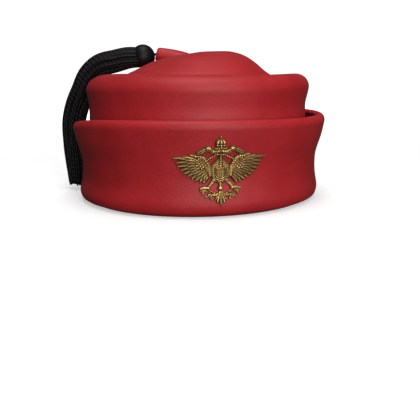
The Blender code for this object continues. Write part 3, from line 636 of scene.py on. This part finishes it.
def makeTubes(name, paths, radii, sides, material, replaced):
    # Closed tubes along paths (tube, ring, xyz). The map runs along in metres and round from 0 to 1.
    count, rings = paths.shape[:2]
    along = np.gradient(paths, axis=1)
    along /= np.linalg.norm(along, axis=2, keepdims=True)
    sideways = np.array(planeAxes(Vector((1.0, 0.0)))[1])
    first = sideways - along * (along @ sideways)[..., None]
    first /= np.linalg.norm(first, axis=2, keepdims=True)
    second = np.cross(along, first)
    turns = 2 * np.pi * np.arange(sides) / sides
    out = first[:, :, None] * np.cos(turns)[:, None] + second[:, :, None] * np.sin(turns)[:, None]
    points = (paths[:, :, None] + out * radii[:, :, None, None]).reshape(-1, 3) + np.array(capAxis)
    tubeFaces = skinFaces(rings, sides, True)
    faces = [[tube * rings * sides + k for k in face] for tube in range(count) for face in tubeFaces]
    made = newPiece(name, points, faces, material, replaced)
    pieces = np.linalg.norm(np.diff(paths, axis=1), axis=2)
    lengths = np.concatenate([np.zeros((count, 1)), np.cumsum(pieces, 1)], 1)
    lengths += np.arange(count)[:, None] * tassel["plyShift"]
    ring, side = np.meshgrid(np.arange(rings - 1), np.arange(sides), indexing="ij")
    corners = []
    for up, on in ((0, 0), (0, 1), (1, 1), (1, 0)):
        reached = lengths[:, ring + up]
        corners.append(np.stack([reached, np.broadcast_to((side + on) / sides, reached.shape)], -1))
    corners = np.stack(corners, 3).reshape(count, -1, 2)
    ends = np.zeros((count, 2 * sides, 2))
    layer = made.data.uv_layers.new(name="strand")
    layer.data.foreach_set("uv", np.concatenate([corners, ends], 1).ravel())
    outward(made)
    return made


def yarnFinish():
    finish = Finish("blackYarn", Roughness=0.48, Specular_IOR_Level=0.24)
    strand = finish.node("UVMap", {"uv_map": "strand"})
    along, aside = [finish.node("SeparateXYZ", None, {0: strand}, output=k) for k in (0, 1)]
    ply = (along * tassel["pliesPerMetre"] + aside * 2.0) * (2 * math.pi)  # two plies
    plies = ply.maths("SINE", ply) * 0.5 + 0.5
    where = finish.place()
    fibres = finish.noise(where, 2600.0, 3.0, 0.6, 0.5)
    tone = finish.noise(where, 240.0, 2.0)
    # Paler at random, and paler on the crests of the plies: the grooves between the plies hold painted shade
    paleToneAndPlyShade = finish.ramp(tone * 0.6 + plies * 0.4, 0.35, 0.75)
    finish.put("Base Color", finish.mix(paleToneAndPlyShade, tassel["black"], tassel["dullBlack"]))
    twisted = finish.bump(plies, 0.00028, 0.8)
    finish.put("Normal", finish.bump(fibres, 0.00012, 0.5, twisted))
    return finish.material


def swaying(share, phases, waves):
    return np.sin(phases[0] + share * waves[0]) + 0.6 * np.sin(phases[1] + share * waves[1])


def makeStrands(material):
    rng = np.random.default_rng(8)
    line = skirtLine(8)
    share = np.linspace(0, 1, len(line))
    axes = [planeAxes(Vector(way).normalized()) for way in np.gradient(line, axis=0)]
    below, sideways = np.array([[tuple(axis) for axis in pair] for pair in axes]).transpose(1, 0, 2)
    middle = np.array([tuple(planeSpot(*at)) for at in line])
    full = np.minimum(1.0, share / tassel["filledShare"])
    reach = tassel["neckRadius"] + (tassel["skirtRadius"] - tassel["neckRadius"]) * full
    reach -= tassel["strandRadius"]
    golden = math.pi * (3 - math.sqrt(5))  # spreads the strands evenly over the skirt's section
    paths = []
    for k in range(tassel["strands"]):
        spread = math.sqrt((k + 0.5) / tassel["strands"])
        turn = golden * k + math.radians(tassel["twist"]) * share
        spread *= 1 - tassel["lockDepth"] * full * (0.5 + 0.5 * math.cos(tassel["locks"] * golden * k))
        phase = rng.uniform(0, 2 * math.pi, 4)
        loose = tassel["wander"] * full * (0.4 + 0.6 * share)
        down = reach * spread * np.cos(turn) + loose * swaying(share, phase[:2], (9.0, 21.0))
        side = reach * spread * np.sin(turn) + loose * swaying(share, phase[2:], (8.0, 19.0))
        path = middle + below * down[:, None] + sideways * side[:, None]
        last = path[-1] - path[-2]
        path[-1] += last / np.linalg.norm(last) * rng.uniform(-1, 1) * tassel["unevenEnds"]
        paths.append(path)
    paths = np.array(paths)
    radii = np.full(paths.shape[:2], tassel["strandRadius"]) * rng.uniform(0.9, 1.1, (len(paths), 1))
    radii[:, -1] *= tassel["strandEnd"]
    made = makeTubes("tasselStrands", paths, radii, 8, material, "tassel")
    print("tassel strands:", len(made.data.polygons), "faces")


def makeHead(material):
    # The round head, wound over with yarn, and the short cord that holds it to the stem.
    pole, way = headPole()
    radius = tassel["ballRadius"]
    centre = pole + way * radius
    rows, columns = 40, 96
    circles = []
    for turn in np.radians(np.linspace(tassel["ballStart"], tassel["ballEnd"], rows)):
        circles.append((centre - way * (radius * math.cos(turn)), radius * math.sin(turn)))
    end = circles[-1][0] + way * 0.0002
    circles += [(end, radius * share) for share in (0.81, 0.63)]
    rings = [planeRing(at, way, size, size, columns) for at, size in circles]
    points = [point + capAxis for ring in rings for point in ring]
    faces = skinFaces(len(rings), columns, True)
    outward(newPiece("tasselHead", points, faces, material, "tassel"))
    tip, stemWay = stemTip()
    seat = stem["cordSeat"] - stem["clearance"]
    line = [tip - stemWay * seat, tip, (tip + pole) / 2, pole, pole + way * seat]
    path = np.array([[tuple(planeSpot(*at)) for at in line]])
    radii = np.full(path.shape[:2], stem["cordRadius"])
    makeTubes("tasselCord", path, radii, 16, material, "tassel_cord")


blackYarn = yarnFinish()
makeStrands(blackYarn)
makeHead(blackYarn)


# The badge: a cast relief, worked out as heights over a flat back and then laid on the cuff.
# Its tables are in millimetres from its middle and give the right half, which is mirrored.

badge = {
    "bearing": 270.0,  # the front
    "centreHeight": 0.0356,
    "cuffLevels": (0.004, 0.064),
    "grid": 0.17,
    "halfWidth": 36.0,
    "halfHeight": 27.0,
    "edge": 0.75,  # height of the rim of every part
    "gap": 0.0003,
    "feather": (1.35, 1.55, 1.66, 1.68, 1.62, 1.45, 1.08, 0.42),  # half widths from root to tip
    "covert": (1.30, 1.42, 1.45, 1.30, 0.70),
    "sag": 0.02,  # how far a feather bends, as a share of its length
    "scale": 1.42,  # length of a shoulder scale
    "scaleRows": (5, 9),
    "plume": (1.55, 1.45),  # width and length of a scale on the body
    "tops": {"feather": 1.60, "covert": 2.05, "scale": 2.60, "body": 2.15, "tail": 2.15, "shield": 3.00},
    "recess": (0.020, 0.011, 0.0045),
    "brass": (0.31, 0.175, 0.052),
    "worn": (0.92, 0.58, 0.21),
}
primaries = (
    # root across, root up, tip across, tip up, share of the width
    (15.3, 9.6, 21.6, 12.4, 0.8), (16.3, 8.6, 26.4, 11.1, 0.72), (17.0, 7.3, 34.0, 10.2, 0.86),
    (17.3, 5.8, 31.7, 6.6, 0.9), (17.0, 4.0, 30.7, 3.6, 0.95), (16.3, 2.5, 28.6, 0.8, 1.0),
    (15.3, 1.3, 26.4, -2.0, 1.0), (13.9, 0.2, 23.6, -3.9, 1.0), (12.6, -0.8, 20.6, -5.7, 1.0),
    (10.9, -1.8, 18.0, -7.4, 1.0), (9.5, -2.8, 15.0, -8.5, 0.97), (8.5, -3.8, 12.2, -9.1, 0.97),
)
shoulderLine = ((11.6, 10.4), (9.6, 8.2), (8.0, 5.6), (7.2, 3.0), (6.9, 0.4), (6.9, -2.4))
bodyOutline = ((0.0, 12.8), (1.3, 12.4), (2.3, 9.2), (7.2, 4.4), (8.0, 1.0), (7.8, -3.4), (4.7, -8.0),
               (0.0, -9.6))
shieldOutline = ((0.0, 3.0), (4.0, 3.0), (4.1, -2.0), (3.5, -4.1), (2.0, -5.4), (0.0, -5.9))
tailOutline = ((0.0, -15.4), (1.7, -16.4), (3.1, -18.6), (4.4, -21.0), (3.0, -21.6), (2.9, -22.9),
               (1.7, -22.9), (0.0, -25.3))
limbs = (
    # part, path, first radius, last radius, height
    ("shoulder roll", ((10.9, 9.7), (13.6, 11.0), (17.3, 11.1)), 1.25, 1.05, 2.35),
    ("neck", ((7.4, 15.7), (5.4, 14.5), (3.4, 14.2), (0.9, 15.0)), 1.75, 1.35, 2.5),
    ("beak", ((9.8, 16.3), (15.2, 13.6)), 1.85, 1.6, 2.5),
    ("beak's hook", ((15.6, 13.8), (16.6, 12.6)), 1.15, 0.45, 2.1),
    ("ribbon", ((0.0, 12.3), (3.6, 12.4), (5.0, 11.0), (7.6, 9.8), (10.0, 8.4)), 0.85, 0.75, 2.0),
    ("leg", ((4.4, -6.6), (8.7, -11.9)), 1.5, 1.2, 2.1),
    ("claw", ((8.5, -12.4), (11.6, -12.2), (14.1, -12.8)), 1.35, 1.25, 2.45),
    ("outer toe", ((13.6, -12.9), (14.1, -15.3)), 1.3, 0.5, 2.0),
    ("middle toe", ((12.0, -13.4), (12.6, -17.2)), 1.75, 0.45, 2.15),
    ("inner toe", ((10.6, -13.2), (10.1, -15.2)), 1.3, 0.45, 1.9),
    ("rod", ((8.9, -13.4), (4.6, -16.2)), 0.7, 0.6, 1.6),
    ("tail's arm", ((0.6, -16.2), (3.6, -17.6), (6.2, -17.7)), 1.1, 1.25, 2.1),
    ("scroll's point", ((7.6, -18.0), (11.1, -18.8)), 1.7, 0.5, 1.9),
    ("scroll's thorn", ((7.0, -18.6), (6.5, -20.8)), 1.5, 0.5, 1.8),
    ("tail's neck", ((0.0, -8.4), (0.0, -16.4)), 1.15, 1.05, 2.1),
    ("outer tail feather", ((0.8, -16.6), (2.6, -19.0), (3.9, -21.3)), 1.5, 0.55, 2.0),
    ("inner tail feather", ((0.5, -17.0), (1.8, -20.2), (2.7, -22.6)), 1.5, 0.6, 2.15),
    ("middle tail feather", ((0.0, -16.0), (0.0, -21.0), (0.0, -25.0)), 1.7, 0.45, 2.45),
    ("finial", ((0.0, 22.6), (0.0, 25.0)), 0.75, 0.65, 1.8),
    ("crown's band", ((0.0, 16.8), (3.4, 16.8)), 0.85, 0.8, 2.7),
    ("crown's post", ((0.0, 16.9), (0.0, 13.0)), 1.0, 1.0, 1.8),
)
bosses = (
    # part, across, up, half width, half height, height, squareness
    ("head", 8.5, 16.4, 2.6, 2.15, 3.0, 2.3),
    ("brow", 9.4, 17.0, 0.55, 0.5, 3.2, 2.0),
    ("crown", 0.0, 19.9, 3.9, 3.4, 2.85, 2.7),
    ("tail's bulb", 0.0, -12.6, 2.15, 1.9, 2.75, 2.0),
    ("thigh", 4.6, -6.6, 2.1, 1.6, 2.3, 2.0),
    ("scroll", 7.4, -17.9, 2.3, 1.95, 2.45, 2.0),
    ("rod's ball", 4.5, -16.2, 0.95, 0.9, 2.0, 2.0),
)


class Relief:
    # Heights of the casting over a grid, and how far inside its outline each place is.
    def __init__(self):
        step = badge["grid"]
        across = np.arange(-badge["halfWidth"], badge["halfWidth"] + step, step)
        up = np.arange(-badge["halfHeight"], badge["halfHeight"] + step, step)
        self.x, self.y = np.meshgrid(across, up, indexing="ij")
        self.inside = np.full(self.x.shape, -9.0)
        self.height = np.zeros(self.x.shape)

    def beside(self, start, end):
        # For a straight line: share along it of the nearest place, distance from it, and to its side.
        x, y = np.abs(self.x) - start[0], self.y - start[1]
        dx, dy = end[0] - start[0], end[1] - start[1]
        length = math.hypot(dx, dy)
        t = np.clip((x * dx + y * dy) / length**2, 0, 1)
        return t, np.hypot(x - t * dx, y - t * dy), (x * dy - y * dx) / length, length

    def along(self, path, radii):
        # For a path with radii along it: distance inside it, millimetres along it and to its side.
        radii = np.interp(np.linspace(0, 1, len(path)), np.linspace(0, 1, len(radii)), radii)
        best = np.full(self.x.shape, -99.0)
        run, side = np.zeros(self.x.shape), np.zeros(self.x.shape)
        passed = 0.0
        for k in range(len(path) - 1):
            t, away, aside, length = self.beside(path[k], path[k + 1])
            inner = radii[k] + (radii[k + 1] - radii[k]) * t - away
            nearer = inner > best
            best = np.where(nearer, inner, best)
            run = np.where(nearer, passed + t * length, run)
            side = np.where(nearer, aside, side)
            passed += length
        return best, run, side

    def within(self, outline):
        # Distance inside the right half of a mirrored outline.
        points = list(outline) + [(-across, up) for across, up in reversed(outline) if across > 0]
        nearest = np.full(self.x.shape, 99.0)
        odd = np.zeros(self.x.shape, bool)
        for (x0, y0), (x1, y1) in zip(points, points[1:] + points[:1]):
            nearest = np.minimum(nearest, self.beside((x0, y0), (x1, y1))[1])
            if y0 != y1:
                crossing = (x1 - x0) * (self.y - y0) / (y1 - y0) + x0
                odd ^= ((y0 > self.y) != (y1 > self.y)) & (np.abs(self.x) < crossing)
        return np.where(odd, nearest, -nearest)

    def lay(self, inner, top, rounding, detail):
        # Adds a part that rises from the common edge height to its top, with rounded sides.
        share = np.clip(inner / rounding, 0, 1)
        rise = (top - badge["edge"]) * np.sqrt(1 - (1 - share) ** 2)
        height = badge["edge"] + rise + detail * np.minimum(1, share * 2)
        self.height = np.where(inner > 0, np.maximum(self.height, height), self.height)
        self.inside = np.maximum(self.inside, inner)


def smoothed(values, weights, reach):
    # A weighted blur over the grid, by repeated three-point averages.
    top, bottom = values * weights, weights.astype(float)
    for _ in range(reach):
        for axis in (0, 1):
            top = (np.roll(top, 1, axis) + 2 * top + np.roll(top, -1, axis)) / 4
            bottom = (np.roll(bottom, 1, axis) + 2 * bottom + np.roll(bottom, -1, axis)) / 4
    return top / np.maximum(bottom, 1e-6)


def bow(start, end, count):
    # Points of a shallow arc between two places.
    start, end = np.array(start), np.array(end)
    across = np.array([start[1] - end[1], end[0] - start[0]])
    t = np.linspace(0, 1, count)[:, None]
    return start + (end - start) * t + across * badge["sag"] * 4 * t * (1 - t)


def placeOn(edge, share):
    # A place at a share of the number of points along an edge.
    shares = np.linspace(0, 1, len(edge))
    return np.array([np.interp(share, shares, values) for values in np.array(edge).T])


def band(middle, width):
    # A narrow band of a given half width round a middle of 0.
    return np.exp(-(middle / width) ** 2)


def addWing(relief):
    tops = badge["tops"]
    for k, (x0, y0, x1, y1, width) in enumerate(primaries):
        inner, run, side = relief.along(bow((x0, y0), (x1, y1), 9), np.array(badge["feather"]) * width)
        barbs = 0.09 * np.sin((run + np.abs(side) * 0.8) * 6.0)
        detail = barbs + 0.36 * band(side, 0.26) - 0.30 * side
        relief.lay(inner, tops["feather"] + 0.03 * (k % 2), 0.90, detail)
    for k, (x0, y0, x1, y1, _) in enumerate(primaries[2:]):
        before, reach = (0.18, 0.40) if k < 4 else (0.62, 0.50)
        start = (x0 - (x1 - x0) * before, y0 - (y1 - y0) * before)
        end = (x0 + (x1 - x0) * reach, y0 + (y1 - y0) * reach)
        inner, run, side = relief.along(bow(start, end, 5), badge["covert"])
        relief.lay(inner, tops["covert"], 0.80, 0.26 * band(side, 0.24) - 0.20 * side)
    featherRoots = [row[:2] for row in primaries]
    rows, columns = badge["scaleRows"]
    for row in range(rows):
        for column in range(columns):
            share = (column + 0.5 * (row % 2)) / (columns - 0.5)
            near, far = placeOn(shoulderLine, share), placeOn(featherRoots, share)
            centre = near + (far - near) * (row + 0.3) / rows * (1.0 if share < 0.55 else 0.35)
            way = (far - near) / np.linalg.norm(far - near)
            x, y = np.abs(relief.x) - centre[0], relief.y - centre[1]
            ahead, side = x * way[0] + y * way[1], x * way[1] - y * way[0]
            inner = badge["scale"] - np.hypot(ahead * 0.95, side * 1.25)
            relief.lay(inner, tops["scale"] - 0.05 * row, 0.60, 0.30 * ahead)


def plumage(x, y):
    # Rows of small scales that hang downwards: 0 at their roots and 1 at their lower ends.
    wide, tall = badge["plume"]
    row = np.floor(y / tall)
    across = (x / wide + 0.5 * (row % 2)) % 1.0 - 0.5
    down = 1 - (y / tall - row)
    return down * np.sqrt(np.clip(1 - (across * 2) ** 4, 0, 1))


def limbDetail(name, relief, run, side):
    if name in ("leg", "neck"):
        return 0.16 * np.sin((run + np.abs(side) * 0.7) * 5.0)
    if name == "beak":
        return -0.50 * band(side + 0.2, 0.24) - 0.6 * band(run - 0.5, 0.28)
    if name in ("ribbon", "shoulder roll"):
        return 0.14 * np.sin(run * 4.0)
    if name.endswith("feather"):
        return 0.34 * band(side, 0.24) + 0.10 * np.sin((run - np.abs(side)) * 5.5)
    if name == "crown's band":
        return 0.28 * np.cos(relief.x * 5.2)
    return 0.0


def bossDetail(name, relief, x, y, halfWidth, halfHeight):
    if name == "crown":
        span = np.sqrt(np.maximum(0.05, 1 - np.abs(y / halfHeight) ** 3)) * halfWidth
        return 0.34 * np.cos(relief.x / span * 3 * math.pi) - 0.42 * band(np.abs(y + 0.9) - 0.80, 0.30)
    if name == "scroll":
        return 0.38 * np.cos(np.arctan2(y, x) + np.hypot(x, y) * 4.0)
    if name == "head":
        return 0.10 * np.sin(x * 6 + y * 4)
    return 0.0


def makeRelief():
    relief = Relief()
    addWing(relief)
    tops = badge["tops"]
    scales = plumage(relief.x, relief.y + 0.35 * np.abs(relief.x))
    relief.lay(relief.within(bodyOutline), tops["body"], 3.2, 0.46 * scales)
    for name, path, first, last, height in limbs:
        inner, run, side = relief.along(path, (first, last))
        relief.lay(inner, height, max(0.35, min(first, last) * 0.8), limbDetail(name, relief, run, side))
    for name, across, up, halfWidth, halfHeight, height, square in bosses:
        x, y = np.abs(relief.x) - across, relief.y - up
        small = min(halfWidth, halfHeight)
        out = (np.abs(x / halfWidth) ** square + np.abs(y / halfHeight) ** square) ** (1 / square)
        detail = bossDetail(name, relief, x, y, halfWidth, halfHeight)
        relief.lay((1 - out) * small, height, small * 0.75, detail)
    ridge, run, _ = relief.along(((0.0, 12.6), (0.0, 4.2)), (0.8, 1.5))
    relief.lay(ridge, 3.00, 0.9, 0.05 * np.sin(run * 4.0))
    fan = 0.30 * np.cos(np.arctan2(relief.x, relief.y + 12.0) * 26.0)
    relief.lay(relief.within(tailOutline), tops["tail"], 0.8, fan)
    shield = relief.within(shieldOutline)
    panel = -0.55 + 0.34 * band(relief.x - 1.5, 0.45) + 0.22 * band(relief.x + 1.5, 0.4)
    relief.lay(shield, tops["shield"], 0.35, np.where(shield > 0.70, panel, 0.0))
    solid = relief.inside > 0
    relief.height = np.where(solid, smoothed(relief.height, solid, 1), 0.0)
    return relief


def cuffSurface(bearings, heights):
    # Points of the cuff's outer face at the front, with the ways out of it.
    spread = np.linspace(bearings.min() - 1.0, bearings.max() + 1.0, 33)
    levels = np.linspace(*badge["cuffLevels"], 61)
    stations = slice(4, 14)  # from the lip to the bottom fold
    radii = []
    for bearing in spread:
        rows = np.array([[(r, z)] for r, z in faceLine(bearing, 1)[stations]])
        curve = curveRows(rows, [8] * (len(rows) - 1))[::-1, 0]
        radii.append(np.interp(levels, curve[:, 1], curve[:, 0]))
    radii = np.array(radii)

    def radiusAt(turn, level):
        a = np.clip((turn - spread[0]) / (spread[1] - spread[0]), 0, len(spread) - 1.001)
        b = np.clip((level - levels[0]) / (levels[1] - levels[0]), 0, len(levels) - 1.001)
        i, j = a.astype(int), b.astype(int)
        a, b = a - i, b - j
        return ((radii[i, j] * (1 - a) + radii[i + 1, j] * a) * (1 - b)
                + (radii[i, j + 1] * (1 - a) + radii[i + 1, j + 1] * a) * b)

    radius = radiusAt(bearings, heights)
    slope = (radiusAt(bearings, heights + 0.001) - radiusAt(bearings, heights - 0.001)) / 0.002
    turn = np.radians(bearings)
    points = np.stack([radius * np.cos(turn), radius * np.sin(turn), heights], -1)
    ways = np.stack([np.cos(turn), np.sin(turn), -slope], -1)
    return points, ways / np.linalg.norm(ways, axis=-1, keepdims=True)


def brassFinish():
    finish = Finish("antiqueBrass")
    wear = finish.node("Attribute", {"attribute_name": "wear"}, output=2)
    where = finish.place()
    stain = finish.noise(where, 260.0, 3.0, 0.6)
    grain = finish.noise(where, 2400.0, 3.0, 0.6)
    level = wear + (stain - 0.5) * 0.35 + (grain - 0.5) * 0.15
    dull = finish.mix(finish.ramp(level, 0.10, 0.55), badge["recess"], badge["brass"])
    finish.put("Base Color", finish.mix(finish.ramp(level, 0.60, 1.0), dull, badge["worn"]))
    finish.put("Roughness", 0.60 - finish.ramp(level, 0.3, 1.0) * 0.24)
    finish.put("Metallic", 0.45 + finish.ramp(level, 0.2, 0.8) * 0.45)
    finish.put("Normal", finish.bump(grain, 0.00008, 0.5))
    return finish.material


def wearOf(relief, rim):
    # How worn each place is: 0 in the dark hollows and 1 on the bright ridges.
    high = relief.height - smoothed(relief.height, relief.inside > 0, 9)
    hollow = high * 4.4 * np.clip(relief.inside / 0.9, 0.3, 1)  # the outline itself stays bright
    wear = np.clip(0.50 + np.where(high > 0, high * 2.8, hollow) + (relief.height - 1.9) * 0.10, 0, 1)
    return np.where(rim, 0.40, wear)


def makeBadge():
    relief = makeRelief()
    solid = relief.inside > 0
    cells = solid[:-1, :-1] & solid[1:, :-1] & solid[1:, 1:] & solid[:-1, 1:]
    whole = np.zeros(solid.shape, int)  # how many kept cells meet at a place
    for i in (0, 1):
        for j in (0, 1):
            whole[i : i + cells.shape[0], j : j + cells.shape[1]] += cells
    # Places with a dropped cell beside them lie on the edge, and move out to the true outline.
    used = whole > 0
    rim = used & (whole < 4)
    gx, gy = np.gradient(relief.inside, badge["grid"])
    size = np.maximum(gx * gx + gy * gy, 0.25)
    shift = np.where(rim, np.minimum(relief.inside, 1.5 * badge["grid"]), 0.0) / size
    x, y = relief.x - shift * gx, relief.y - shift * gy
    wear = wearOf(relief, rim)
    height = np.where(rim, badge["edge"], relief.height)

    number = -np.ones(solid.shape, int)
    count = int(used.sum())
    number[used] = np.arange(count)
    facing = badge["bearing"]
    middle = cuffSurface(np.array([facing]), np.array([badge["centreHeight"]]))[0][0]
    bearings = facing + np.degrees(x[used] / 1000 / float(np.linalg.norm(middle[:2])))
    levels = badge["centreHeight"] + y[used] / 1000
    at, way = cuffSurface(bearings, levels)
    lift = badge["gap"] + np.array([feltLump(Vector(point)) for point in at])
    back = at + way * lift[:, None]
    front = at + way * (lift + height[used] / 1000)[:, None]
    i, j = np.nonzero(cells)
    quads = np.stack([number[i, j], number[i + 1, j], number[i + 1, j + 1], number[i, j + 1]], -1)
    edges = [pair for quad in quads.tolist() for pair in zip(quad, quad[1:] + quad[:1])]
    paired = set(edges)
    walls = [(b, a, a + count, b + count) for a, b in edges if (b, a) not in paired]
    faces = quads.tolist() + (quads[:, ::-1] + count).tolist() + walls
    points = np.concatenate([front, back]) + np.array(capAxis)
    made = newPiece("badgeRelief", points, faces, brassFinish(), "badge")
    made.data.set_sharp_from_angle(angle=math.radians(52))
    attribute = made.data.attributes.new("wear", "FLOAT", "POINT")
    attribute.data.foreach_set("value", np.concatenate([wear[used], np.full(count, 0.2)]))
    outward(made)
    print("badge:", len(faces), "faces")


fastener = {
    "studRadius": 0.0014,
    "studProud": 0.0003,  # how far the stud reaches past the nut
    "studRooted": 0.0012,  # how far it goes into the felt
    "studColumns": 24,
    "patches": 0.7,  # how dark the darker patches are
    "colour": (0.48, 0.34, 0.16),
}


def fastenerFinish():
    finish = Finish("plainBrass", Roughness=0.5, Metallic=1.0)
    colour = fastener["colour"]
    patches = finish.noise(finish.place(), 300.0)
    finish.put("Base Color", finish.mix(patches, colour, tuple(c * fastener["patches"] for c in colour)))
    return finish.material


def makeFastener():
    # The nut is the frame's own, and the end of the stud shows in the middle of it.
    finish = fastenerFinish()
    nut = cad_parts["badge_nut"]
    nut.data.materials.clear()
    nut.data.materials.append(finish)
    places = np.array([nut.matrix_world @ vertex.co for vertex in nut.data.vertices])
    low, high = places.min(0), places.max(0)
    across, _, up = (low + high) / 2
    columns, proud = fastener["studColumns"], fastener["studProud"]
    rings = ((low[1] - fastener["studRooted"], 1.0), (high[1] + proud * 0.6, 1.0), (high[1] + proud, 0.8))
    points = []
    for depth, share in rings:
        for k in range(columns):
            right, rise, _ = spot(360 * k / columns, fastener["studRadius"] * share, 0.0)
            points.append((across + right, depth, up + rise))
    made = newPiece("badgeStud", points, skinFaces(len(rings), columns, True), finish, "badge")
    made.data.set_sharp_from_angle(angle=math.radians(40))
    outward(made)
    print("stud and nut ready")


makeBadge()
makeFastener()
